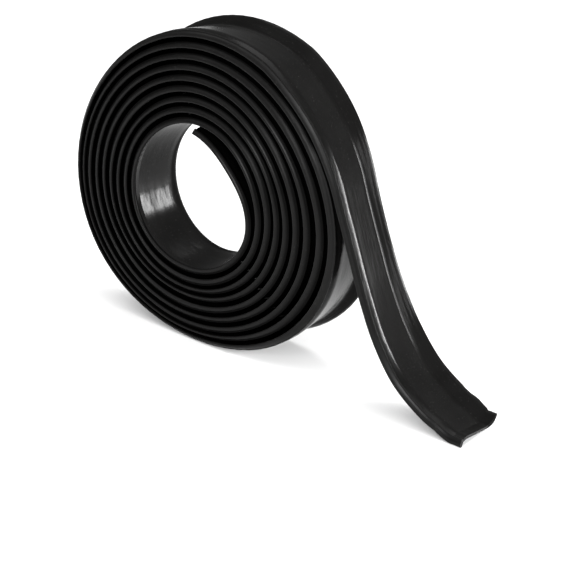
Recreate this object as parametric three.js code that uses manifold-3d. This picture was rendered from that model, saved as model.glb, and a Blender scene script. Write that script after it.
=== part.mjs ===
import * as THREE from 'three';
import { mergeVertices } from 'three/addons/utils/BufferGeometryUtils.js';
import Module from 'manifold-3d';

// All sizes in millimetres. X is along the free tail, Y along the axis of the roll, Z is up.

// Wound roll: radius of its front edge where the tail leaves, and how the turns are wound
const ROLL_RADIUS = 139.6;
const TURN_PITCH = 8.73;
const TURNS = 9.17;
const TAIL_LEAVES_DEG = 42.6;
// The soft roll has settled out of round: how far its outside and its bore stand out from a true
// spiral, as waves of one, two and three to a turn, each with its cosine and its sine
const OUTSIDE_WAVES = [[4.5, 2.5], [4.7, -0.3], [0, -2.7]];
const BORE_WAVES = [[-11.8, -5.8], [0.4, 0.8], [0.1, -1]];
// how fast the outside's shape passes into that of the bore
const SETTLING = 2.84;
// the inner end of the strip hangs loose in the bore, lowest a third of the way from its cut end
const LOOSE_END_DROP = 7.7;
const LOOSE_END_DEG = 133;
const LOOSE_END_LEAN = 1.6;

// Cross-section of the open strip, from the front lip to the back rim
const WALL = 2.2;
const STRIP_WIDTH = 57;
const WEB_WIDTH = 44;
const WEB_DROP = 5;
const LIP_REACH = 3.2;
const HOOK_HEIGHT = 0.9;
const RIM_DEPTH = 5;
const STEP_HEIGHT = 0.9;
const RIM_WIDTH = STRIP_WIDTH - WEB_WIDTH;
// the lip's foot is level with the underside of the rim, so that the end of the tail lies flat
const LIP_DROP = RIM_DEPTH + WALL;

// Between two turns of the roll: the lip's share of their distance, and how deep the gap is open
// on the front and on the back
const LIP_SHARE = 0.61;
const FRONT_GROOVE = 19;
const BACK_GROOVE = 19;
// the gap outside the innermost turn is open less deep, as the bore cuts close to it
const LAST_GROOVE = 10;

// Free tail: points of its front edge as shares of the roll's radius, and its twist and end
const TAIL_SHAPE = [[0.733, 0.674], [0.923, 0.416], [1.025, 0.192], [1.123, -0.033], [1.221, -0.258],
  [1.338, -0.476], [1.494, -0.666], [1.701, -0.796]];
const TAIL_REACH = 1.943 * ROLL_RADIUS;
const TAIL_FOOT_LENGTH = 10.5;
const TWIST_DROP = 6.4;
const RIM_FLARE = 4;
const END_SKEW = 8;

// Angles between which the last turn follows the roll
const TURN_START_DEG = TAIL_LEAVES_DEG + 372;
const TURN_END_DEG = TAIL_LEAVES_DEG + 24;

// Fineness of the faceting
const CORE_SIDES = 34;
const TURN_STEP = ROLL_RADIUS / 7;
const TAIL_STEP = 8;
const RIM_SEGMENTS = 4;

const toRadians = (degrees) => degrees * Math.PI / 180;

// Radius of a turn's front crest: it falls by one pitch a turn, going from the tail into the roll
function crestRadius(degrees) {
  return ROLL_RADIUS - TURN_PITCH * (degrees - TAIL_LEAVES_DEG) / 360;
}

// Radius in the settled roll of a point that has the given radius in a true spiral
function settledRadius(radius, angle) {
  const depth = (ROLL_RADIUS - radius) / (TURN_PITCH * TURNS);
  const inner = (1 - Math.exp(-SETTLING * depth)) / (1 - Math.exp(-SETTLING));
  let settled = radius;
  OUTSIDE_WAVES.forEach(([outCosine, outSine], index) => {
    const [boreCosine, boreSine] = BORE_WAVES[index];
    const wave = (index + 1) * angle;
    settled += (outCosine + (boreCosine - outCosine) * inner) * Math.cos(wave);
    settled += (outSine + (boreSine - outSine) * inner) * Math.sin(wave);
  });
  return settled;
}

// Place of a point of the roll, seen along its axis, from its radius and angle
function rollPoint(radius, angle) {
  const settled = settledRadius(radius, angle);
  return new THREE.Vector2(settled * Math.cos(angle), settled * Math.sin(angle));
}

// Height of the last turn's lowest point, on which the roll stands
function rollFoot() {
  let lowest = 0;
  for (let degrees = 240; degrees <= 300; degrees += 1) {
    lowest = Math.min(lowest, rollPoint(crestRadius(degrees), toRadians(degrees)).y);
  }
  return lowest;
}

const INNER_END_DEG = TAIL_LEAVES_DEG + 360 * TURNS;
const FLOOR_Z = rollFoot();

// Drop of the lip on the last turn: a share of the distance to the turn under it
function rollLip(degrees) {
  const angle = toRadians(degrees);
  const crest = crestRadius(degrees);
  const distance = settledRadius(crest, angle) - settledRadius(crest - TURN_PITCH, angle);
  return Math.min(LIP_DROP, LIP_SHARE * distance);
}

// Inward bend of the loose inner end
function looseDrop(degrees) {
  const along = (degrees - INNER_END_DEG + LOOSE_END_DEG) / LOOSE_END_DEG;
  return along > 0 ? LOOSE_END_DROP * Math.sin(Math.PI * along ** LOOSE_END_LEAN) : 0;
}

// Winding angle of the innermost turn in a direction seen from the roll's axis
function innermostDegrees(angle) {
  const before = (INNER_END_DEG - THREE.MathUtils.radToDeg(angle)) % 360;
  return INNER_END_DEG - before;
}

// Top of the web at a distance across the strip: a shallow channel that falls towards the back
function webHeight(across) {
  const part = Math.min(across / WEB_WIDTH, 1);
  return -WEB_DROP * Math.sin(part * Math.PI / 2);
}

// Quarter oval of the curved rim, from the web up to the rim's edge
function rimArc(width, depth) {
  const points = [];
  for (let i = 0; i <= RIM_SEGMENTS; i += 1) {
    const angle = -Math.PI / 2 * (1 - i / RIM_SEGMENTS);
    points.push([WEB_WIDTH + width * Math.cos(angle), depth * Math.sin(angle)]);
  }
  return points;
}

// Outline of the strip's wall. x runs across the strip and y away from the roll's axis.
function stripOutline() {
  const stepStart = WEB_WIDTH - 4 * STEP_HEIGHT;
  const stepFoot = webHeight(stepStart);
  return [
    [-LIP_REACH + WALL, -LIP_DROP],
    [-LIP_REACH, -LIP_DROP],
    [-LIP_REACH, -LIP_DROP + WALL],
    [-LIP_REACH * 0.6, -LIP_DROP * 0.36],
    [-LIP_REACH * 0.55, -HOOK_HEIGHT * 0.3],
    [-LIP_REACH * 0.25, -HOOK_HEIGHT * 0.2],
    [-LIP_REACH * 0.1, -HOOK_HEIGHT * 1.5],
    [HOOK_HEIGHT, -HOOK_HEIGHT * 0.7],
    [2 * HOOK_HEIGHT, 0],
    [stepStart * 0.25, webHeight(stepStart * 0.25)],
    [stepStart * 0.6, webHeight(stepStart * 0.6)],
    [stepStart, stepFoot],
    [stepStart + STEP_HEIGHT / 2, stepFoot + STEP_HEIGHT],
    [WEB_WIDTH - STEP_HEIGHT, -WEB_DROP + STEP_HEIGHT],
    ...rimArc(RIM_WIDTH - WALL, RIM_DEPTH),
    ...rimArc(RIM_WIDTH, LIP_DROP).reverse(),
    [stepStart * 0.6, webHeight(stepStart * 0.6) - WALL],
    [stepStart * 0.25, webHeight(stepStart * 0.25) - WALL],
    [HOOK_HEIGHT, -WALL - HOOK_HEIGHT],
  ];
}

// Filling between the last turn and the one under it, behind the open mouths of the gap
function fillOutline() {
  const depth = -1.6 * TURN_PITCH - WEB_DROP;
  const back = STRIP_WIDTH - BACK_GROOVE;
  return [
    [FRONT_GROOVE, depth],
    [FRONT_GROOVE, webHeight(FRONT_GROOVE) - WALL / 2],
    [back, webHeight(back) - WALL / 2],
    [back, depth],
  ];
}

// Front crest of the outermost turn and then of the tail, and the share of its length on the roll
function stripPath() {
  const points = [];
  for (let degrees = TURN_START_DEG; degrees >= TURN_END_DEG; degrees -= 12) {
    const under = Math.max(0, degrees - TAIL_LEAVES_DEG - 360) / 12 * WALL;
    points.push(rollPoint(crestRadius(degrees) - under, toRadians(degrees)));
  }
  const onRoll = points.length;
  for (const [x, z] of TAIL_SHAPE) {
    points.push(new THREE.Vector2(ROLL_RADIUS * x, ROLL_RADIUS * z));
  }
  const footZ = FLOOR_Z + LIP_DROP;
  const foot = [[2.25, 0.47], [1.6, 0.17], [1, 0], [0.8, 0], [0.4, 0], [0, 0]];
  for (const [back, up] of foot) {
    points.push(new THREE.Vector2(TAIL_REACH - back * TAIL_FOOT_LENGTH, footZ + up * TAIL_FOOT_LENGTH));
  }
  let rollLength = 0;
  for (let i = 1; i < onRoll; i += 1) {
    rollLength += points[i].distanceTo(points[i - 1]);
  }
  const flat = points.map((point) => new THREE.Vector3(point.x, 0, point.y));
  const curve = new THREE.CatmullRomCurve3(flat, false, 'centripetal');
  return { curve, tailStart: rollLength / curve.getLength() };
}

// Shares of the swept length at which the strip has a section: coarse on the roll, finer on the tail
function sweepStations({ curve, tailStart }) {
  const length = curve.getLength();
  const turnSteps = Math.round(length * tailStart / TURN_STEP);
  const tailSteps = Math.round(length * (1 - tailStart) / TAIL_STEP);
  const stations = [];
  for (let i = 0; i < turnSteps; i += 1) {
    stations.push(tailStart * i / turnSteps);
  }
  for (let i = 0; i <= tailSteps; i += 1) {
    stations.push(tailStart + (1 - tailStart) * i / tailSteps);
  }
  return stations;
}

// Straight extrusion of an outline, bent so that its length follows the path. On the free tail the
// strip twists a little, its rim opens, and its end is cut a little askew.
function bentExtrusion(outline, { curve, tailStart }, stations) {
  const shape = new THREE.Shape(outline.map(([x, y]) => new THREE.Vector2(x, y)));
  const steps = stations.length - 1;
  const geometry = new THREE.ExtrudeGeometry(shape, { depth: 1, steps, bevelEnabled: false });
  const position = geometry.getAttribute('position');
  for (let i = 0; i < position.count; i += 1) {
    const part = stations[Math.round(position.getZ(i) * steps)];
    const point = curve.getPointAt(part);
    const tangent = curve.getTangentAt(part);
    const across = position.getX(i);
    const down = Math.max(0, (part - tailStart) / (1 - tailStart));
    const free = down < 0.93 ? Math.sin(Math.PI * down / 0.93) ** 2 : 0;
    const inRim = Math.max(0, across - WEB_WIDTH) / RIM_WIDTH;
    const fall = free * (TWIST_DROP * across / STRIP_WIDTH + RIM_FLARE * inRim ** 2);
    const degrees = TURN_START_DEG + (TURN_END_DEG - TURN_START_DEG) * Math.min(1, part / tailStart);
    const lip = across < WALL ? rollLip(degrees) / LIP_DROP : 1;
    const away = position.getY(i) * (lip + (1 - lip) * Math.min(1, 4 * down)) - fall;
    const back = END_SKEW * down ** 2 * Math.max(0, across) / STRIP_WIDTH;
    position.setXYZ(
      i,
      point.x - tangent.z * away - tangent.x * back,
      across,
      point.z + tangent.x * away - tangent.z * back,
    );
  }
  return geometry;
}

// Turned profile of all turns but the last, with the lips of the turns on its front and back ends
function coreGeometry() {
  const outer = ROLL_RADIUS - TURN_PITCH;
  const rings = Math.ceil(TURNS) - 1;
  const innermost = outer - TURN_PITCH * (rings - 1);
  const inner = innermost - LIP_DROP - 2 * WALL;
  const profile = [];
  for (let k = 0; k < rings; k += 1) {
    const crest = outer - TURN_PITCH * k;
    const front = k < rings - 2 ? FRONT_GROOVE : LAST_GROOVE;
    profile.push([crest, 0], [crest - LIP_SHARE * TURN_PITCH, -LIP_REACH]);
    const drop = k < rings - 2 ? webHeight(front) : 0;
    profile.push([crest + drop - WALL, front], [crest + drop - TURN_PITCH, front]);
  }
  profile.push([inner, LAST_GROOVE], [inner, STRIP_WIDTH - LAST_GROOVE]);
  for (let k = rings - 1; k >= 0; k -= 1) {
    const crest = outer - TURN_PITCH * k;
    const back = STRIP_WIDTH - (k < rings - 2 ? BACK_GROOVE : LAST_GROOVE);
    profile.push([crest - TURN_PITCH + webHeight(back), back]);
    profile.push([crest + webHeight(back) - WALL, back]);
    profile.push([crest - LIP_DROP * 0.7, STRIP_WIDTH - RIM_WIDTH * 0.29]);
    profile.push([crest, STRIP_WIDTH], [crest, STRIP_WIDTH - WALL]);
    profile.push([crest - RIM_DEPTH * 0.9, WEB_WIDTH + RIM_WIDTH * 0.3]);
  }
  profile.push([outer - WEB_DROP, WEB_WIDTH], [outer - WEB_DROP * 0.7, WEB_WIDTH / 2]);
  profile.push(profile[0]);
  profile.reverse();
  const geometry = new THREE.LatheGeometry(profile.map(([r, y]) => new THREE.Vector2(r, y)), CORE_SIDES);
  const position = geometry.getAttribute('position');
  for (let i = 0; i < position.count; i += 1) {
    const radius = Math.hypot(position.getX(i), position.getZ(i));
    const angle = Math.atan2(position.getZ(i), position.getX(i));
    const drop = radius < innermost + 0.01 ? looseDrop(innermostDegrees(angle)) : 0;
    const point = rollPoint(radius - drop, angle);
    position.setXYZ(i, point.x, position.getY(i), point.y);
  }
  return geometry;
}

// Bore of the roll: inside of the innermost turn, with a step at that turn's cut end
function boreGeometry() {
  const count = 48;
  const points = [];
  for (let i = 0; i <= count; i += 1) {
    const degrees = INNER_END_DEG - 360 * i / count;
    const foot = crestRadius(degrees) - LIP_SHARE * TURN_PITCH - looseDrop(degrees);
    points.push(rollPoint(foot, toRadians(degrees)));
  }
  const depth = 3 * STRIP_WIDTH;
  const geometry = new THREE.ExtrudeGeometry(new THREE.Shape(points), { depth, bevelEnabled: false });
  geometry.rotateX(Math.PI / 2);
  geometry.translate(0, 2 * STRIP_WIDTH, 0);
  return geometry;
}

const wasm = await Module();
wasm.setup();

function toSolid(geometry) {
  const bare = geometry.clone();
  bare.deleteAttribute('normal');
  bare.deleteAttribute('uv');
  const merged = mergeVertices(bare, 1e-4);
  const mesh = new wasm.Mesh({
    numProp: 3,
    vertProperties: new Float32Array(merged.getAttribute('position').array),
    triVerts: new Uint32Array(merged.index.array),
  });
  mesh.merge();
  const solid = new wasm.Manifold(mesh);
  if (solid.volume() < 0) {
    throw new Error('a solid is inside out');
  }
  return solid;
}

function toGeometry(solid) {
  const mesh = solid.getMesh();
  const geometry = new THREE.BufferGeometry();
  geometry.setAttribute('position', new THREE.BufferAttribute(new Float32Array(mesh.vertProperties), 3));
  geometry.setIndex(new THREE.BufferAttribute(new Uint32Array(mesh.triVerts), 1));
  geometry.computeVertexNormals();
  return geometry;
}

const path = stripPath();
const stations = sweepStations(path);
const strip = toSolid(bentExtrusion(stripOutline(), path, stations));
const onRoll = stations.filter((part) => part <= path.tailStart);
const fill = toSolid(bentExtrusion(fillOutline(), path, onRoll));
const core = toSolid(coreGeometry());
const bore = toSolid(boreGeometry());

// The outer shell alone, so that no sliver between the turns stays as a closed hollow
const shells = core.add(fill).subtract(bore).add(strip).decompose();
const outerShell = shells.sort((a, b) => b.volume() - a.volume())[0];
const box = outerShell.boundingBox();
const middle = [(box.min[0] + box.max[0]) / 2, (box.min[1] + box.max[1]) / 2];
const roll = outerShell.translate([-middle[0], -middle[1], -box.min[2]]);

const material = new THREE.MeshStandardMaterial({ color: 0x1d1d1e, roughness: 0.5, metalness: 0 });
const cover = new THREE.Mesh(toGeometry(roll), material);
cover.name = 'cover_strip';

const model = new THREE.Group();
model.name = 'flexible_cable_cover';
model.add(cover);

export default model;
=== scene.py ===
"""A roll of open, flexible cable cover strip with its loose end run out on the floor.

The strip is one extruded length. Its section is drawn once, its path is the wound spiral with the
free tail, and a node tree sweeps the one along the other. All lengths are in millimetres until the
meshes are made.
"""

import logging
import math
from dataclasses import dataclass, field
from enum import Enum

import bpy
from mathutils import Matrix, Vector

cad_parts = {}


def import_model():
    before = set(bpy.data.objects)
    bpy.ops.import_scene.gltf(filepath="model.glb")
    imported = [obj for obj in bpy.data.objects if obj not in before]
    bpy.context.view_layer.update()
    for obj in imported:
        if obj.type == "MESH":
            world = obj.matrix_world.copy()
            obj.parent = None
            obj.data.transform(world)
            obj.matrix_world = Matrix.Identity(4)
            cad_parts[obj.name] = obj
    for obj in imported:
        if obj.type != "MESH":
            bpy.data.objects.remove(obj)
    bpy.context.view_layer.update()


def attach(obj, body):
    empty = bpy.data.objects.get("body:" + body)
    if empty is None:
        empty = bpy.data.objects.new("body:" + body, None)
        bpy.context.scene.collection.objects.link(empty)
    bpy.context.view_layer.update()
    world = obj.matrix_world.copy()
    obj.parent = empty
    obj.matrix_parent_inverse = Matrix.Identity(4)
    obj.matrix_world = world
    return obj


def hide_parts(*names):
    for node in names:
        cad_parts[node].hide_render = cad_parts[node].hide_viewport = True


LOG = logging.getLogger("cable_cover")
MM = 0.001

# A pair of numbers, a pair with its rounding, a place in space and a linear colour
Point = tuple[float, float]
Corner = tuple[float, float, float]
Place = tuple[float, float, float]
Colour = tuple[float, float, float]
# Black that the painted shade between the turns mixes into the colour
PAINTED_SHADE_BLACK = (0.0, 0.0, 0.0, 1.0)


class Domain(Enum):
    """Kinds of number that a mesh attribute holds here."""

    NUMBER = "FLOAT"
    VECTOR = "FLOAT_VECTOR"


class Blend(Enum):
    """How a value passes from one end of a range to the other."""

    STRAIGHT = "LINEAR"
    SMOOTH = "SMOOTHSTEP"


class NodeMaker:
    """Adds nodes to one tree and links them."""

    def __init__(self, tree: bpy.types.NodeTree) -> None:
        """Keep the tree.

        Args:
            tree: The node tree that gets the nodes.
        """
        self.tree = tree

    def add(self, kind: str, inputs: dict | None = None, **settings: object) -> bpy.types.Node:
        """Add one node.

        Args:
            kind: The node's type name.
            inputs: Socket names or numbers with a value or another node's socket.
            **settings: Properties of the node itself.

        Returns:
            The new node.
        """
        node = self.tree.nodes.new(kind)
        for name, value in settings.items():
            setattr(node, name, value)
        for name, value in (inputs or {}).items():
            socket = node.inputs[name]
            if isinstance(value, bpy.types.NodeSocket):
                self.tree.links.new(value, socket)
            else:
                socket.default_value = value
        return node

    def math(self, operation: str, first: object, second: object = 0.0) -> bpy.types.NodeSocket:
        """Return the result socket of a Math node on two numbers or sockets."""
        node = self.add("ShaderNodeMath", {0: first, 1: second}, operation=operation)
        return node.outputs[0]

    def plus(self, first: object, second: object) -> bpy.types.NodeSocket:
        """Return the sum of two numbers."""
        return self.math("ADD", first, second)

    def minus(self, first: object, second: object) -> bpy.types.NodeSocket:
        """Return the first number less the second."""
        return self.math("SUBTRACT", first, second)

    def times(self, first: object, second: object) -> bpy.types.NodeSocket:
        """Return the product of two numbers."""
        return self.math("MULTIPLY", first, second)

    def scaled(self, vector: object, factor: object) -> bpy.types.NodeSocket:
        """Return the vector times the factor."""
        node = self.add("ShaderNodeVectorMath", {0: vector, "Scale": factor}, operation="SCALE")
        return node.outputs[0]

    def summed(self, first: object, second: object) -> bpy.types.NodeSocket:
        """Return the sum of two vectors."""
        node = self.add("ShaderNodeVectorMath", {0: first, 1: second}, operation="ADD")
        return node.outputs[0]

    def pair(self, x: object, y: object) -> bpy.types.NodeSocket:
        """Return a vector made of two numbers, with nothing along its third axis."""
        return self.add("ShaderNodeCombineXYZ", {"X": x, "Y": y}).outputs[0]

    def named(self, name: str, domain: Domain = Domain.NUMBER) -> bpy.types.NodeSocket:
        """Return the value of a named attribute in a geometry tree."""
        node = self.add("GeometryNodeInputNamedAttribute", {"Name": name}, data_type=domain.value)
        return node.outputs["Attribute"]

    def stored(
        self, geometry: bpy.types.NodeSocket, name: str, value: bpy.types.NodeSocket, domain: Domain
    ) -> bpy.types.NodeSocket:
        """Store a value on a geometry's points.

        Args:
            geometry: The geometry that gets the value.
            name: The attribute's name.
            value: The value's socket.
            domain: Its kind of number.

        Returns:
            The geometry with the attribute.
        """
        inputs = {"Geometry": geometry, "Name": name, "Value": value}
        node = self.add("GeometryNodeStoreNamedAttribute", inputs, data_type=domain.value)
        return node.outputs["Geometry"]

    def painted(self, name: str) -> bpy.types.NodeSocket:
        """Return the value of a named attribute in a material."""
        return self.add("ShaderNodeAttribute", attribute_name=name).outputs["Fac"]

    def ramp(
        self,
        value: bpy.types.NodeSocket,
        start: float,
        end: float,
        high: float = 1.0,
        blend: Blend = Blend.STRAIGHT,
    ) -> bpy.types.NodeSocket:
        """Raise a result from nothing, between two values, and hold it on either side.

        Args:
            value: The value's socket.
            start: Where the result is nothing.
            end: Where the result is at its highest.
            high: The highest result.
            blend: How it passes from one to the other.

        Returns:
            The result's socket.
        """
        inputs = {"Value": value, "From Min": start, "From Max": end, "To Max": high}
        node = self.add("ShaderNodeMapRange", inputs, interpolation_type=blend.value)
        return node.outputs["Result"]

    def noise(
        self, place: bpy.types.NodeSocket, scale: float, detail: float, roughness: float = 0.5
    ) -> bpy.types.NodeSocket:
        """Return soft noise between nothing and one.

        Args:
            place: Where the noise is read.
            scale: How fine it is.
            detail: How many finer layers it has.
            roughness: How strong those layers are.

        Returns:
            The noise's socket.
        """
        inputs = {"Vector": place, "Scale": scale, "Detail": detail, "Roughness": roughness}
        return self.add("ShaderNodeTexNoise", inputs).outputs["Fac"]

    def mixed(self, share: object, first: object, second: object) -> bpy.types.NodeSocket:
        """Return a mix of two colours, with the given share of the second."""
        return self.add("ShaderNodeMix", {0: share, 6: first, 7: second}, data_type="RGBA").outputs[2]


def attribute_mesh(
    name: str,
    points: list[Vector],
    closed: bool,
    numbers: dict[str, list[float]],
    vectors: dict[str, list[Vector]],
) -> bpy.types.Object:
    """Make a chain of edges whose points carry named values.

    Args:
        name: The object's name.
        points: The chain's points, in metres.
        closed: Whether the last point joins the first.
        numbers: Named numbers, one for each point.
        vectors: Named vectors, one for each point.

    Returns:
        The new object, linked to the scene.
    """
    edges = [(i, i + 1) for i in range(len(points) - 1)]
    if closed:
        edges.append((len(points) - 1, 0))
    mesh = bpy.data.meshes.new(name)
    mesh.from_pydata(points, edges, [])
    for key, values in numbers.items():
        mesh.attributes.new(key, Domain.NUMBER.value, "POINT").data.foreach_set("value", values)
    for key, values in vectors.items():
        flat = [part for value in values for part in value]
        mesh.attributes.new(key, Domain.VECTOR.value, "POINT").data.foreach_set("vector", flat)
    made = bpy.data.objects.new(name, mesh)
    bpy.context.scene.collection.objects.link(made)
    return made


def rounded(
    corners: list[Corner], pieces: int = 3, least_bend: float = 0.02, most_reach: float = 0.48
) -> list[Point]:
    """Round the corners of a closed outline.

    Args:
        corners: Each corner's place and its rounding radius.
        pieces: Steps in each rounding.
        least_bend: Angle under which a corner stays as it is.
        most_reach: Largest share of a side that one rounding takes.

    Returns:
        The points of the rounded outline.
    """
    outline: list[Point] = []
    count = len(corners)
    for i, (x, y, radius) in enumerate(corners):
        here = Vector((x, y))
        before = Vector(corners[i - 1][:2]) - here
        after = Vector(corners[(i + 1) % count][:2]) - here
        opening = before.angle(after)
        if radius <= 0 or math.pi - opening < least_bend:
            outline.append((x, y))
            continue
        reach = min(
            radius / math.tan(opening / 2), most_reach * before.length, most_reach * after.length
        )
        start = here + before.normalized() * reach
        end = here + after.normalized() * reach
        for step in range(pieces + 1):
            t = step / pieces
            spot = start * (1 - t) ** 2 + here * (2 * t * (1 - t)) + end * t**2
            outline.append((spot.x, spot.y))
    return outline


@dataclass
class StripSection:
    """Cross-section of the strip: front lip with its hook, channel web and curved back rim.

    Each point has its distance across the strip, from the front crest, and its height over the crest.
    """

    wall: float = 2.2
    width: float = 57.0
    web_width: float = 44.0
    # The lip, from its foot to its hook. The foot counts from the lip's face and its lowest edge
    lip_reach: float = 3.2
    lip_foot: tuple[Corner, ...] = ((2.2, 0.2, 0.7), (0.9, 0.0, 0.8), (0.0, 1.0, 1.2), (0.0, 2.0, 1.5))
    lip_face: tuple[Corner, ...] = ((-2.95, -3.9, 1.5), (-2.35, -2.6, 1.4), (-1.5, -1.4, 0.6))
    hook: tuple[Corner, ...] = ((-1.3, 0.0, 0.35), (-0.65, 0.0, 0.35))
    groove: tuple[Corner, ...] = ((-0.25, -1.35, 0.4), (0.5, -1.35, 0.5), (1.5, -1.05, 1.2))
    web_heights: tuple[Point, ...] = (
        (3.0, -0.66),
        (4.7, -0.22),
        (6.2, 0.0),
        (7.6, -0.1),
        (9.4, -0.38),
        (11.5, -0.78),
        (14.5, -1.3),
        (19.0, -1.98),
        (25.0, -2.85),
        (31.0, -3.68),
        (36.0, -4.35),
        (39.4, -4.85),
    )
    # The underside, from the rim to the lip, one wall thickness higher than it comes out
    under_web: tuple[Corner, ...] = (
        (36.0, -4.35, 1.0),
        (25.0, -2.95, 1.0),
        (14.5, -1.5, 1.0),
        (6.0, -0.35, 1.5),
    )
    lip_root: Corner = (0.9, -3.3, 1.5)
    # The low ridge before the rim: where it starts and ends, and its rise, in shares of its height
    step_height: float = 0.9
    step_start: float = 4.0
    step_end: float = 0.6
    step_rise: float = 0.65
    # The rim, and the small barb on its inner side
    rim_depth: float = 5.0
    rim_edge: float = 0.5
    rim_edge_drop: float = 0.4
    rim_steps: int = 10
    rim_straight: float = 0.95
    barb_height: float = 0.45
    barb_place: float = 0.5
    barb_width: float = 0.05

    @property
    def lip_drop(self) -> float:
        """Height of the front lip from its foot to the crest."""
        return self.rim_depth + self.wall

    @property
    def rim_width(self) -> float:
        """Distance from the web to the back edge of the strip."""
        return self.width - self.web_width

    def rim_side(self, width: float, depth: float, barb: float, straight: float) -> list[Corner]:
        """Return one side of the rim, from the web up to the rim's edge: a quarter oval, or flatter.

        Args:
            width: How far this side reaches back from the web.
            depth: How far it drops under the rim's edge.
            barb: Height of the small ridge on it.
            straight: Share of a straight slope in its shape.

        Returns:
            Corners with no rounding.
        """
        side = []
        for i in range(self.rim_steps + 1):
            share = i / self.rim_steps
            angle = -math.pi / 2 * (1 - share)
            bump = barb * math.exp(-(((share - self.barb_place) / self.barb_width) ** 2))
            reach = 1 - bump / width
            back = straight * share + (1 - straight) * math.cos(angle)
            down = straight * (share - 1) + (1 - straight) * math.sin(angle)
            side.append((self.web_width + width * reach * back, depth * reach * down, 0.0))
        return side

    def lip_corners(self) -> list[Corner]:
        """Go from the lip's foot over its face and hook to the start of the web.

        Returns:
            The corners of that stretch.
        """
        return [
            *((x - self.lip_reach, y - self.lip_drop, radius) for x, y, radius in self.lip_foot),
            *self.lip_face,
            *self.hook,
            *self.groove,
        ]

    def step_corners(self) -> list[Corner]:
        """Draw the low ridge between the web and the rim.

        Returns:
            The ridge's corners.
        """
        foot = self.web_heights[-1][1]
        return [
            (self.web_width - self.step_start * self.step_height, foot, 0.3),
            (self.web_width - self.step_height, foot + self.step_rise * self.step_height, 0.3),
            (self.web_width - self.step_end * self.step_height, -self.rim_depth, 0.2),
        ]

    def corners(self) -> list[Corner]:
        """Draw the wall's whole outline, over the top and back along the underside.

        Returns:
            The outline's corners with their roundings.
        """
        inner_width = self.rim_width - self.rim_edge
        inner = self.rim_side(inner_width, self.rim_depth, self.barb_height, self.rim_straight)
        outer = self.rim_side(self.rim_width, self.lip_drop, 0.0, 0.0)
        return [
            *self.lip_corners(),
            *((x, y, 0.0) for x, y in self.web_heights),
            *self.step_corners(),
            *inner,
            (self.width, -self.rim_edge_drop, 0.3),
            *reversed(outer[:-1]),
            *((x, y - self.wall, radius) for x, y, radius in self.under_web),
            self.lip_root,
        ]

    def build(self) -> bpy.types.Object:
        """Make the rounded outline, with each point's values for the sweep.

        Returns:
            A closed chain of edges.
        """
        outline = rounded(self.corners())
        girth, total = [0.0], 0.0
        for i in range(1, len(outline)):
            total += math.dist(outline[i], outline[i - 1])
            girth.append(total)
        points = [Vector((x * MM, y * MM, 0)) for x, y in outline]
        back_edge = max(range(len(outline)), key=lambda i: outline[i][0])
        lip_end = self.lip_root[0]
        numbers = {
            "outside": [float(i <= back_edge) for i in range(len(outline))],
            "across": [x for x, _ in outline],
            "height": [y for _, y in outline],
            "girth": girth,
            "lip": [min(max(-y / self.lip_drop, 0), 1) if x < lip_end else 0.0 for x, y in outline],
            "rim": [max(0.0, x - self.web_width) / self.rim_width for x, _ in outline],
        }
        return attribute_mesh("strip_section", points, True, numbers, {})


def catmull_rom(points: list[Vector], step: float) -> list[Vector]:
    """Draw a smooth line through points, with spacing by the root of their distances.

    Args:
        points: Points in a plane.
        step: Wanted distance between points of the line.

    Returns:
        Points of the line from the second to the last but one of the points given.
    """
    line: list[Vector] = []
    for first, start, end, last in zip(points, points[1:], points[2:], points[3:]):
        before = math.sqrt((start - first).length)
        between = math.sqrt((end - start).length)
        after = math.sqrt((last - end).length)
        slope_in = (start - first) / before - (end - first) / (before + between) + (end - start) / between
        slope_out = (end - start) / between - (last - start) / (between + after) + (last - end) / after
        count = max(2, round((end - start).length / step))
        for i in range(count):
            t = i / count
            line.append(
                start * (2 * t**3 - 3 * t**2 + 1)
                + slope_in * (between * (t**3 - 2 * t**2 + t))
                + end * (3 * t**2 - 2 * t**3)
                + slope_out * (between * (t**3 - t**2))
            )
    line.append(points[-2])
    return line


@dataclass(frozen=True)
class Bump:
    """A place where a turn lies a little further out or in than the even winding."""

    middle_deg: float
    width_deg: float
    height: float


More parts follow.
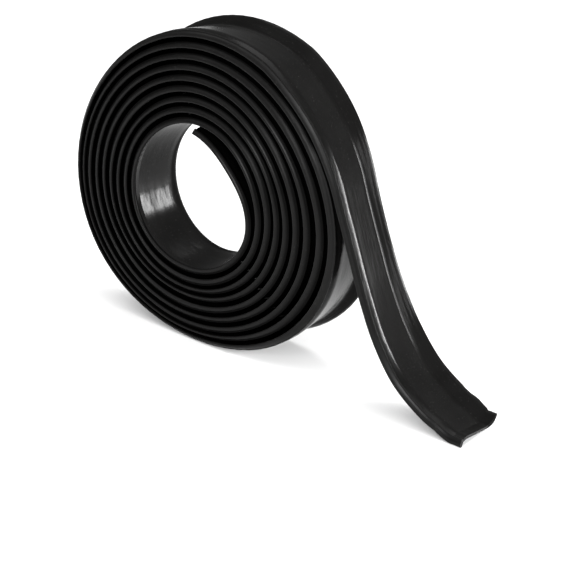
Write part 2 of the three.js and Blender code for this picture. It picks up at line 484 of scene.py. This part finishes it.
@dataclass
class WoundPath:
    """Path of the strip's front crest: spiral turns with a loose inner end, and the free tail.

    Angles count from the right of the roll, up and over its top, and on from turn to turn inwards.
    """

    # How the turns are wound, and how the soft roll has settled out of round
    roll_radius: float = 139.6
    turn_pitch: float = 8.73
    turns: float = 9.17
    tail_leaves_deg: float = 42.6
    outside_waves: tuple[Point, ...] = ((4.5, 2.5), (4.7, -0.3), (0.0, -2.7))
    bore_waves: tuple[Point, ...] = ((-11.8, -5.8), (0.4, 0.8), (0.1, -1.0))
    settling: float = 2.84
    uneven: tuple[Bump, ...] = (
        Bump(717.0, 25.0, 1.5),
        Bump(900.0, 40.0, 1.0),
        Bump(990.0, 25.0, 1.2),
        Bump(1130.0, 30.0, -1.8),
        Bump(1654.0, 25.0, -1.5),
        Bump(1840.0, 30.0, -1.3),
        Bump(2045.0, 45.0, -2.4),
        Bump(2306.0, 25.0, -1.3),
        Bump(2550.0, 35.0, 1.5),
        Bump(2785.0, 30.0, 1.5),
    )
    inset: float = 0.3
    # The inner end, which hangs loose in the bore
    loose_end_drop: float = 7.7
    loose_end_deg: float = 133.0
    loose_end_lean: float = 1.6
    # How the lip and the rim of a turn give way to the turns beside it
    lip_drop: float = 7.2
    lip_share: float = 0.59
    least_lip: float = 2.8
    tip_room: float = 2.9
    highest_tip: float = 8.5
    tip_ease_deg: float = 40.0
    bare_outside_deg: float = 350.0
    bare_inside_deg: float = 365.0
    # The free tail, in shares of the roll's radius, and its foot, in shares of the foot's length
    last_turn_end: float = 24.0
    lead_in_deg: float = 12.0
    tail_shape: tuple[Point, ...] = (
        (0.733, 0.674),
        (0.923, 0.416),
        (1.025, 0.192),
        (1.123, -0.033),
        (1.221, -0.258),
        (1.338, -0.476),
        (1.494, -0.666),
        (1.701, -0.796),
    )
    tail_reach: float = 1.943
    foot_length: float = 10.5
    foot_lift: float = 0.1
    foot_shape: tuple[Point, ...] = ((2.25, 0.47), (1.6, 0.17), (1, 0), (0.8, 0), (0.4, 0), (0, 0))
    # Where the twist ends, the winding's unevenness ends and the lip is whole, as shares of the tail
    twist_end: float = 0.93
    wound_end: float = 0.12
    lip_return: float = 0.25
    # Steps of the line, where the last turn may be lowest, and the place of the roll's centre
    degrees_step: float = 4.4
    lowest_range_deg: tuple[int, int] = (240, 301)
    tail_step: float = 5.0
    centre: Place = (-66.69, -26.9, 126.88)

    @property
    def inner_end_deg(self) -> float:
        """Angle of the strip's inner end."""
        return self.tail_leaves_deg + 360 * self.turns

    @property
    def floor_z(self) -> float:
        """Height of the last turn's lowest point over the roll's centre."""
        return min(self.roll_point(degrees).y for degrees in range(*self.lowest_range_deg))

    def loose_drop(self, degrees: float) -> float:
        """Work out how far the loose inner end hangs into the bore.

        Args:
            degrees: Angle along the winding.

        Returns:
            The drop, which is nothing on the rest of the roll.
        """
        along = (degrees - self.inner_end_deg + self.loose_end_deg) / self.loose_end_deg
        if along <= 0:
            return 0.0
        return self.loose_end_drop * math.sin(math.pi * min(along, 1.0) ** self.loose_end_lean)

    def settled_radius(self, degrees: float) -> float:
        """Work out the crest's distance from the roll's centre, without the loose end's drop.

        Args:
            degrees: Angle along the winding.

        Returns:
            The radius.
        """
        turn = (degrees - self.tail_leaves_deg) / 360
        inner = (1 - math.exp(-self.settling * turn / self.turns)) / (1 - math.exp(-self.settling))
        radius = self.roll_radius - self.turn_pitch * turn
        for wave, (outside, bore) in enumerate(zip(self.outside_waves, self.bore_waves), start=1):
            angle = math.radians(wave * degrees)
            radius += (outside[0] + (bore[0] - outside[0]) * inner) * math.cos(angle)
            radius += (outside[1] + (bore[1] - outside[1]) * inner) * math.sin(angle)
        for bump in self.uneven:
            radius += bump.height * math.exp(-(((degrees - bump.middle_deg) / bump.width_deg) ** 2))
        return radius

    def spacing(self, degrees: float) -> float:
        """Return the distance from a turn's crest to that of the turn under it."""
        return self.settled_radius(degrees) - self.settled_radius(degrees + 360)

    def roll_point(self, degrees: float) -> Vector:
        """Find the crest's place on the roll, seen along its axis.

        Args:
            degrees: Angle along the winding.

        Returns:
            The place, counted from the roll's centre.
        """
        radius = self.settled_radius(degrees) - self.loose_drop(degrees)
        angle = math.radians(degrees)
        return Vector((radius * math.cos(angle), radius * math.sin(angle)))

    def squeeze(self, degrees: float) -> float:
        """Return how much lower the lip is on the roll than on the free tail."""
        lip = max(self.least_lip, self.lip_share * self.spacing(degrees))
        return max(0.0, self.lip_drop - lip)

    def tip_rise(self, degrees: float) -> float:
        """Work out how far the rim of an inner turn stands up towards the turn outside it.

        Args:
            degrees: Angle along the winding.

        Returns:
            The rise, which is nothing on the outermost turn.
        """
        outside = degrees - 360
        if outside < self.tail_leaves_deg:
            return 0.0
        room = self.spacing(outside) - self.tip_room
        ease = min(1.0, (outside - self.tail_leaves_deg) / self.tip_ease_deg)
        return max(0.0, min(room, self.highest_tip)) * ease

    def tail_points(self) -> list[Vector]:
        """Draw the free tail from where it leaves the roll to its foot on the floor.

        Returns:
            The points of a smooth line.
        """
        leave = self.tail_leaves_deg + self.last_turn_end
        guides = [self.roll_point(leave + self.lead_in_deg), self.roll_point(leave)]
        guides += [Vector((self.roll_radius * x, self.roll_radius * z)) for x, z in self.tail_shape]
        reach = self.tail_reach * self.roll_radius
        foot_z = self.floor_z + self.lip_drop + self.foot_lift
        guides += [
            Vector((reach - back * self.foot_length, foot_z + up * self.foot_length))
            for back, up in self.foot_shape
        ]
        guides.append(guides[-1] + Vector((self.foot_length, 0)))
        return catmull_rom(guides, self.tail_step)

    def build(self) -> bpy.types.Object:
        """Make the path from the inner end to the tail's foot, with each point's values for the sweep.

        Returns:
            An open chain of edges.
        """
        last = self.tail_leaves_deg + self.last_turn_end
        steps = round((self.inner_end_deg - last) / self.degrees_step)
        angles = [self.inner_end_deg + (last - self.inner_end_deg) * i / steps for i in range(steps)]
        tail = self.tail_points()
        line = [self.roll_point(degrees) for degrees in angles] + tail
        along, headings = [0.0], []
        for here, ahead in zip(line, line[1:]):
            along.append(along[-1] + (ahead - here).length)
        for i in range(len(line)):
            ahead, behind = line[min(i + 1, len(line) - 1)], line[max(i - 1, 0)]
            headings.append((ahead - behind).normalized())
        tail_start = along[steps]
        down = [max(0.0, (a - tail_start) / (along[-1] - tail_start)) for a in along]
        tightness = [self.squeeze(degrees) for degrees in angles]
        tightness += [self.squeeze(last) * max(0.0, 1 - d / self.lip_return) for d in down[steps:]]
        first_covered = self.tail_leaves_deg + self.bare_outside_deg
        last_covered = self.inner_end_deg - self.bare_inside_deg
        on_tail = [0.0] * len(tail)
        cx, cy, cz = self.centre
        points = [Vector(((p.x + cx) * MM, cy * MM, (p.y + cz) * MM)) for p in line]
        numbers = {
            "along": along,
            "down": down,
            "free": [math.sin(math.pi * min(d / self.twist_end, 1.0)) ** 2 for d in down],
            "wound": [1 - min(d / self.wound_end, 1.0) for d in down],
            "squeeze": tightness,
            "turn_outside": [float(degrees > first_covered) for degrees in angles] + on_tail,
            "turn_inside": [float(degrees < last_covered) for degrees in angles] + on_tail,
            "rise": [self.tip_rise(degrees) for degrees in angles] + on_tail,
        }
        vectors = {
            "heading": [Vector((h.x, 0, h.y)) for h in headings],
            "outward": [Vector((-h.y, 0, h.x)) for h in headings],
        }
        return attribute_mesh("strip_path", points, False, numbers, vectors)


@dataclass(frozen=True)
class SoftPlasticFinish:
    """Black soft plastic, extruded: satin, with fine lines along its length, a little dust and painted shade
    between the turns.

    A zone is a pair of distances across the strip, between which its effect comes in.
    """

    colour: Colour = (0.0048, 0.0047, 0.0046)
    refraction: float = 1.5
    shine: float = 0.08
    roughness: float = 0.19
    lip_roughness: float = 0.3
    lip_zone: Point = (1.0, -1.5)
    # Dull stretches: the rim shines less; the faces that lie between two turns get painted shade, their
    # colour darkened towards black and their shine taken away
    rim_shine: float = 0.05
    rim_zone: Point = (38.5, 42.5)
    painted_gap_shade: float = 0.8
    painted_shade_zone: Point = (-3.15, -1.0)
    edge_zone: Point = (56.3, 54.0)
    # Dust and haze
    dust_colour: Colour = (0.035, 0.034, 0.033)
    dust: float = 0.35
    dust_range: Point = (0.68, 0.78)
    haze: float = 0.05
    haze_range: Point = (0.35, 0.75)
    speck_scale: float = 620.0
    speck_layers: float = 1.0
    cloud_scale: float = 38.0
    cloud_layers: float = 4.0
    cloud_roughness: float = 0.06
    # Lines of the extrusion, grain and soft ripples
    lines_per_mm: float = 2.2
    line_drift: float = 0.006
    line_layers: float = 3.0
    line_layer_share: float = 0.6
    line_roughness: float = 0.04
    line_depth: float = 0.00004
    line_strength: float = 0.5
    grain_scale: float = 900.0
    grain_share: float = 0.25
    fine_layers: float = 2.0
    ripples_per_mm: Point = (0.12, 0.035)
    ripple_depth: float = 0.0005
    ripple_strength: float = 0.6

    def shine_and_shade(self, make: NodeMaker) -> tuple[bpy.types.NodeSocket, bpy.types.NodeSocket]:
        """Work out how much the plastic shines and how much painted shade it gets in the gaps between turns.

        Args:
            make: Adds the nodes.

        Returns:
            The shine's socket and the painted shade's.
        """
        across = make.painted("across")
        off_edge = make.ramp(across, *self.edge_zone)
        painted_shade_mask = make.times(make.painted("covered"), make.ramp(across, *self.painted_shade_zone))
        painted_shade_mask = make.times(painted_shade_mask, off_edge)
        on_rim = make.times(make.ramp(across, *self.rim_zone, blend=Blend.SMOOTH), off_edge)
        # Painted shade: the faces between turns lose their shine
        shine = make.times(make.minus(1.0, painted_shade_mask), self.shine)
        shine = make.times(shine, make.minus(1.0, make.times(on_rim, 1.0 - self.rim_shine)))
        return shine, painted_shade_mask

    def rough(
        self, make: NodeMaker, cloud: bpy.types.NodeSocket, lines: bpy.types.NodeSocket
    ) -> bpy.types.NodeSocket:
        """Work out the roughness: more on the lip, with clouds and lines in it.

        Args:
            make: Adds the nodes.
            cloud: Broad noise.
            lines: Noise along the strip.

        Returns:
            The roughness's socket.
        """
        on_lip = make.ramp(make.painted("across"), *self.lip_zone, blend=Blend.SMOOTH)
        rough = make.plus(make.times(on_lip, self.lip_roughness - self.roughness), self.roughness)
        rough = make.plus(rough, make.times(make.minus(cloud, 0.5), self.cloud_roughness))
        return make.plus(rough, make.times(make.minus(lines, 0.5), self.line_roughness))

    def relief(
        self, make: NodeMaker, place: bpy.types.NodeSocket, lines: bpy.types.NodeSocket
    ) -> bpy.types.NodeSocket:
        """Work out the surface's relief: lines and grain over soft ripples.

        Args:
            make: Adds the nodes.
            place: The object's own place.
            lines: Noise along the strip.

        Returns:
            The normal's socket.
        """
        per_girth, per_length = self.ripples_per_mm
        ripples_across = make.times(make.painted("girth"), per_girth)
        ripples_along = make.times(make.painted("along"), per_length)
        ripple = make.noise(make.pair(ripples_across, ripples_along), 1.0, self.fine_layers)
        grain = make.noise(place, self.grain_scale, self.fine_layers)
        fine = make.add(
            "ShaderNodeBump",
            {
                "Strength": self.line_strength,
                "Distance": self.line_depth,
                "Height": make.plus(lines, make.times(grain, self.grain_share)),
            },
        )
        broad = make.add(
            "ShaderNodeBump",
            {
                "Strength": self.ripple_strength,
                "Distance": self.ripple_depth,
                "Height": ripple,
                "Normal": fine.outputs[0],
            },
        )
        return broad.outputs[0]

    def build(self) -> bpy.types.Material:
        """Make the finish.

        Returns:
            The material.
        """
        material = bpy.data.materials.new("black_soft_plastic")
        material.use_nodes = True
        material.node_tree.nodes.clear()
        make = NodeMaker(material.node_tree)
        place = make.add("ShaderNodeTexCoord").outputs["Object"]
        cloud = make.noise(place, self.cloud_scale, self.cloud_layers)
        lines_across = make.times(make.painted("girth"), self.lines_per_mm)
        lines_along = make.times(make.painted("along"), self.line_drift)
        lines_at = make.pair(lines_across, lines_along)
        lines = make.noise(lines_at, 1.0, self.line_layers, self.line_layer_share)
        shine, painted_shade_mask = self.shine_and_shade(make)

        specks = make.noise(place, self.speck_scale, self.speck_layers)
        dust = make.ramp(specks, *self.dust_range, high=self.dust)
        haze = make.ramp(cloud, *self.haze_range, high=self.haze)
        colour = make.mixed(make.plus(dust, haze), (*self.colour, 1.0), (*self.dust_colour, 1.0))
        # Painted shade: the faces between turns are darkened towards black
        colour = make.mixed(make.times(painted_shade_mask, self.painted_gap_shade), colour, PAINTED_SHADE_BLACK)

        shader = make.add(
            "ShaderNodeBsdfPrincipled",
            {
                "Base Color": colour,
                "Roughness": self.rough(make, cloud, lines),
                "Normal": self.relief(make, place, lines),
                "IOR": self.refraction,
                "Specular IOR Level": shine,
            },
        )
        make.add("ShaderNodeOutputMaterial", {"Surface": shader.outputs[0]})
        return material


@dataclass(frozen=True)
class PaleFloorFinish:
    """Plain pale floor."""

    colour: Colour = (0.86, 0.86, 0.86)
    roughness: float = 0.7

    def build(self) -> bpy.types.Material:
        """Make the finish.

        Returns:
            The material.
        """
        material = bpy.data.materials.new("pale_floor")
        material.use_nodes = True
        shader = material.node_tree.nodes["Principled BSDF"]
        shader.inputs["Base Color"].default_value = (*self.colour, 1.0)
        shader.inputs["Roughness"].default_value = self.roughness
        return material


@dataclass
class CoverStrip:
    """The whole strip: the section swept along the wound path."""

    section: StripSection = field(default_factory=StripSection)
    path: WoundPath = field(default_factory=WoundPath)
    finish: SoftPlasticFinish = field(default_factory=SoftPlasticFinish)
    twist_drop: float = 6.4
    rim_flare: float = 4.0
    end_skew: float = 8.0
    crest_wander: float = 0.35
    wander_per_mm: float = 0.011
    rim_curl: float = 1.5
    seed: float = 7.0
    sharp_angle: float = math.radians(38)

    def sweep(self, make: NodeMaker, given: bpy.types.NodeOutputs) -> bpy.types.NodeSocket:
        """Sweep the section along the path and close both ends.

        Args:
            make: Adds the nodes.
            given: The tree's own inputs.

        Returns:
            The swept mesh.
        """
        path = make.add("GeometryNodeObjectInfo", {"Object": given["Path"]}).outputs["Geometry"]
        path = make.add("GeometryNodeMeshToCurve", {"Mesh": path}).outputs["Curve"]
        place = make.add("GeometryNodeInputPosition").outputs[0]
        path = make.stored(path, "spine", place, Domain.VECTOR)
        section = make.add("GeometryNodeObjectInfo", {"Object": given["Section"]}).outputs["Geometry"]
        section = make.add("GeometryNodeMeshToCurve", {"Mesh": section}).outputs["Curve"]
        inputs = {"Curve": path, "Profile Curve": section, "Fill Caps": True}
        return make.add("GeometryNodeCurveToMesh", inputs).outputs["Mesh"]

    def covered(self, make: NodeMaker) -> bpy.types.NodeSocket:
        """Mark the faces that lie against another turn, where the finish paints shade.

        Args:
            make: Adds the nodes.

        Returns:
            A socket that gives one on those faces and nothing on the others.
        """
        outside = make.named("outside")
        inside = make.times(make.minus(1.0, outside), make.named("turn_inside"))
        return make.plus(make.times(outside, make.named("turn_outside")), inside)

    def fall(
        self, make: NodeMaker, given: bpy.types.NodeOutputs, share: bpy.types.NodeSocket
    ) -> bpy.types.NodeSocket:
        """Work out how far the twisted tail hangs under its front crest.

        Args:
            make: Adds the nodes.
            given: The tree's own inputs.
            share: Distance across the strip as a share of its width.

        Returns:
            The fall's socket.
        """
        flare = make.times(make.named("rim"), given["Rim Flare"])
        twist = make.times(share, given["Twist Drop"])
        return make.times(make.plus(twist, flare), make.named("free"))

    def shifts(self, make: NodeMaker, given: bpy.types.NodeOutputs) -> bpy.types.NodeSocket:
        """Work out how far the roll's turns push the strip's lip, rim and crest outwards.

        Args:
            make: Adds the nodes.
            given: The tree's own inputs.

        Returns:
            The shift's socket.
        """
        squeeze = make.times(make.named("lip"), make.named("squeeze"))
        curl = make.math("POWER", make.named("rim"), self.rim_curl)
        rise = make.times(curl, make.named("rise"))
        noise_at = make.pair(make.times(make.named("along"), self.wander_per_mm), given["Seed"])
        noise = make.noise(noise_at, 1.0, 1.0)
        wander = make.times(make.minus(noise, 0.5), given["Crest Wander"])
        wander = make.times(make.minus(wander, given["Inset"]), make.named("wound"))
        return make.plus(make.plus(squeeze, rise), wander)

    def bent(
        self, make: NodeMaker, given: bpy.types.NodeOutputs, swept: bpy.types.NodeSocket
    ) -> bpy.types.NodeSocket:
        """Put each point of the swept mesh where the roll and the tail have it.

        Args:
            make: Adds the nodes.
            given: The tree's own inputs.
            swept: The swept mesh.

        Returns:
            The mesh with its points in place.
        """
        across = make.named("across")
        share = make.math("MAXIMUM", make.math("DIVIDE", across, given["Strip Width"]), 0.0)
        skew = make.times(make.math("POWER", make.named("down"), 2.0), share)
        skew = make.times(skew, given["End Skew"])
        away = make.minus(make.named("height"), self.fall(make, given, share))
        away = make.plus(away, self.shifts(make, given))
        place = make.scaled(make.named("outward", Domain.VECTOR), make.times(away, MM))
        back = make.scaled(make.named("heading", Domain.VECTOR), make.times(skew, -MM))
        side = make.pair(0.0, make.times(across, MM))
        spine = make.named("spine", Domain.VECTOR)
        place = make.summed(make.summed(place, back), make.summed(side, spine))
        return make.add("GeometryNodeSetPosition", {"Geometry": swept, "Position": place}).outputs["Geometry"]

    def tree(self) -> bpy.types.NodeTree:
        """Make the node tree that sweeps a section along a path.

        Returns:
            The tree.
        """
        tree = bpy.data.node_groups.new("sweep_strip", "GeometryNodeTree")
        wanted = (
            ("Section", "NodeSocketObject"),
            ("Path", "NodeSocketObject"),
            ("Strip Width", "NodeSocketFloat"),
            ("Twist Drop", "NodeSocketFloat"),
            ("Rim Flare", "NodeSocketFloat"),
            ("End Skew", "NodeSocketFloat"),
            ("Crest Wander", "NodeSocketFloat"),
            ("Inset", "NodeSocketFloat"),
            ("Seed", "NodeSocketFloat"),
            ("Sharp Angle", "NodeSocketFloat"),
            ("Finish", "NodeSocketMaterial"),
        )
        for name, kind in wanted:
            tree.interface.new_socket(name, in_out="INPUT", socket_type=kind)
        tree.interface.new_socket("Geometry", in_out="OUTPUT", socket_type="NodeSocketGeometry")
        make = NodeMaker(tree)
        given = make.add("NodeGroupInput").outputs

        swept = self.sweep(make, given)
        # The covered faces get painted shade in the finish
        swept = make.stored(swept, "covered", self.covered(make), Domain.NUMBER)
        swept = self.bent(make, given, swept)
        swept = make.add("GeometryNodeFlipFaces", {"Mesh": swept}).outputs["Mesh"]
        bend = make.add("GeometryNodeInputMeshEdgeAngle").outputs["Unsigned Angle"]
        compared = {0: bend, 1: given["Sharp Angle"]}
        soft = make.add("FunctionNodeCompare", compared, operation="LESS_THAN").outputs[0]
        swept = make.add("GeometryNodeSetShadeSmooth", {0: swept, "Shade Smooth": True}).outputs[0]
        smooth = {0: swept, "Shade Smooth": soft}
        swept = make.add("GeometryNodeSetShadeSmooth", smooth, domain="EDGE").outputs[0]
        swept = make.add("GeometryNodeRealizeInstances", {"Geometry": swept}).outputs["Geometry"]
        finished = {"Geometry": swept, "Material": given["Finish"]}
        swept = make.add("GeometryNodeSetMaterial", finished).outputs["Geometry"]
        make.add("NodeGroupOutput", {"Geometry": swept})
        return tree

    def build(self) -> bpy.types.Object:
        """Sweep the strip and turn the result into a plain mesh.

        Returns:
            The strip's object.
        """
        section, path, finish = self.section.build(), self.path.build(), self.finish.build()
        values = {
            "Section": section,
            "Path": path,
            "Strip Width": self.section.width,
            "Twist Drop": self.twist_drop,
            "Rim Flare": self.rim_flare,
            "End Skew": self.end_skew,
            "Crest Wander": self.crest_wander,
            "Inset": self.path.inset,
            "Seed": self.seed,
            "Sharp Angle": self.sharp_angle,
            "Finish": finish,
        }
        holder = bpy.data.objects.new("strip_sweep", bpy.data.meshes.new("strip_sweep"))
        bpy.context.scene.collection.objects.link(holder)
        tree = self.tree()
        modifier = holder.modifiers.new("sweep", "NODES")
        modifier.node_group = tree
        for item in tree.interface.items_tree:
            if item.in_out == "INPUT":
                modifier[item.identifier] = values[item.name]
        graph = bpy.context.evaluated_depsgraph_get()
        mesh = bpy.data.meshes.new_from_object(holder.evaluated_get(graph), depsgraph=graph)
        mesh.name = "wound_cover_strip"
        holder.modifiers.clear()
        for spare in (holder, section, path):
            bpy.data.objects.remove(spare)
        strip = bpy.data.objects.new("wound_cover_strip", mesh)
        bpy.context.scene.collection.objects.link(strip)
        return strip

    def dress(self, strip: bpy.types.Object) -> None:
        """Put the strip in the place of its CAD node.

        Args:
            strip: The finished strip.
        """
        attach(strip, "root")
        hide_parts("cover_strip")
        LOG.info("%s: %d faces", strip.name, len(strip.data.polygons))


@dataclass(frozen=True)
class SoftBox:
    """One soft studio light."""

    name: str
    place: Place
    aim: Place
    size: Point
    watts: float

    def build(self) -> bpy.types.Object:
        """Make the light and aim it at its point.

        Returns:
            The light's object.
        """
        lamp = bpy.data.lights.new(self.name, "AREA")
        lamp.shape = "RECTANGLE"
        lamp.size, lamp.size_y = self.size
        lamp.energy = self.watts
        made = bpy.data.objects.new(self.name, lamp)
        bpy.context.scene.collection.objects.link(made)
        made.location = self.place
        made.rotation_euler = (Vector(self.aim) - Vector(self.place)).to_track_quat("-Z", "Y").to_euler()
        return made


@dataclass
class Studio:
    """Pale floor, soft light and the camera."""

    floor_half: float = 2.6
    floor_drop: float = 0.0002
    world_light: float = 0.18
    lens: float = 193.94
    yaw: float = 0.65513
    pitch: float = 0.41037
    roll: float = 0.070568
    distance: float = 2.5
    slide: Point = (0.067, -0.073856)
    target: Place = (-0.06669, -0.0269, 0.12688)
    boxes: tuple[SoftBox, ...] = (
        SoftBox("key_above", (-0.2, -0.5, 2.0), (0.0, 0.0, 0.0), (3.4, 3.4), 98.0),
        SoftBox("right_back", (0.98, 0.78, 0.4), (0.05, 0.0, 0.12), (0.2, 0.6), 34.0),
        SoftBox("front", (0.35, -1.9, 0.8), (0.0, 0.0, 0.12), (0.3, 0.8), 32.0),
    )

    def build_floor(self) -> None:
        """Lay the floor."""
        half, low = self.floor_half, -self.floor_drop
        corners = [(-half, -half, low), (half, -half, low), (half, half, low), (-half, half, low)]
        mesh = bpy.data.meshes.new("floor")
        mesh.from_pydata(corners, [], [(0, 1, 2, 3)])
        floor = bpy.data.objects.new("floor", mesh)
        bpy.context.scene.collection.objects.link(floor)
        mesh.materials.append(PaleFloorFinish().build())

    def build_light(self) -> None:
        """Set the soft boxes and the even light of the room."""
        for box in self.boxes:
            box.build()
        world = bpy.data.worlds.new("room")
        bpy.context.scene.world = world
        world.use_nodes = True
        sky = world.node_tree.nodes["Background"]
        sky.inputs["Color"].default_value = (1.0, 1.0, 1.0, 1.0)
        sky.inputs["Strength"].default_value = self.world_light
        bpy.context.scene.view_settings.view_transform = "Standard"

    def build_camera(self) -> None:
        """Set the camera at the photograph's angle."""
        back = Vector(
            (
                math.sin(self.yaw) * math.cos(self.pitch),
                -math.cos(self.yaw) * math.cos(self.pitch),
                math.sin(self.pitch),
            )
        )
        level = (-back).cross(Vector((0, 0, 1))).normalized()
        upright = level.cross(-back)
        right = level * math.cos(self.roll) + upright * math.sin(self.roll)
        up = upright * math.cos(self.roll) - level * math.sin(self.roll)
        place = Vector(self.target) + back * self.distance
        place += right * self.slide[0] + up * self.slide[1]
        camera = bpy.data.objects.new("camera", bpy.data.cameras.new("camera"))
        camera.data.lens = self.lens
        turn = Matrix((right, up, back)).transposed().to_4x4()
        camera.matrix_world = Matrix.Translation(place) @ turn
        bpy.context.scene.collection.objects.link(camera)
        bpy.context.scene.camera = camera


def main() -> None:
    """Build the strip and the studio round it."""
    logging.basicConfig(level=logging.INFO, format="%(message)s")
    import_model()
    cover = CoverStrip()
    cover.dress(cover.build())
    studio = Studio()
    studio.build_floor()
    studio.build_light()
    studio.build_camera()


if __name__ == "__main__":
    main()
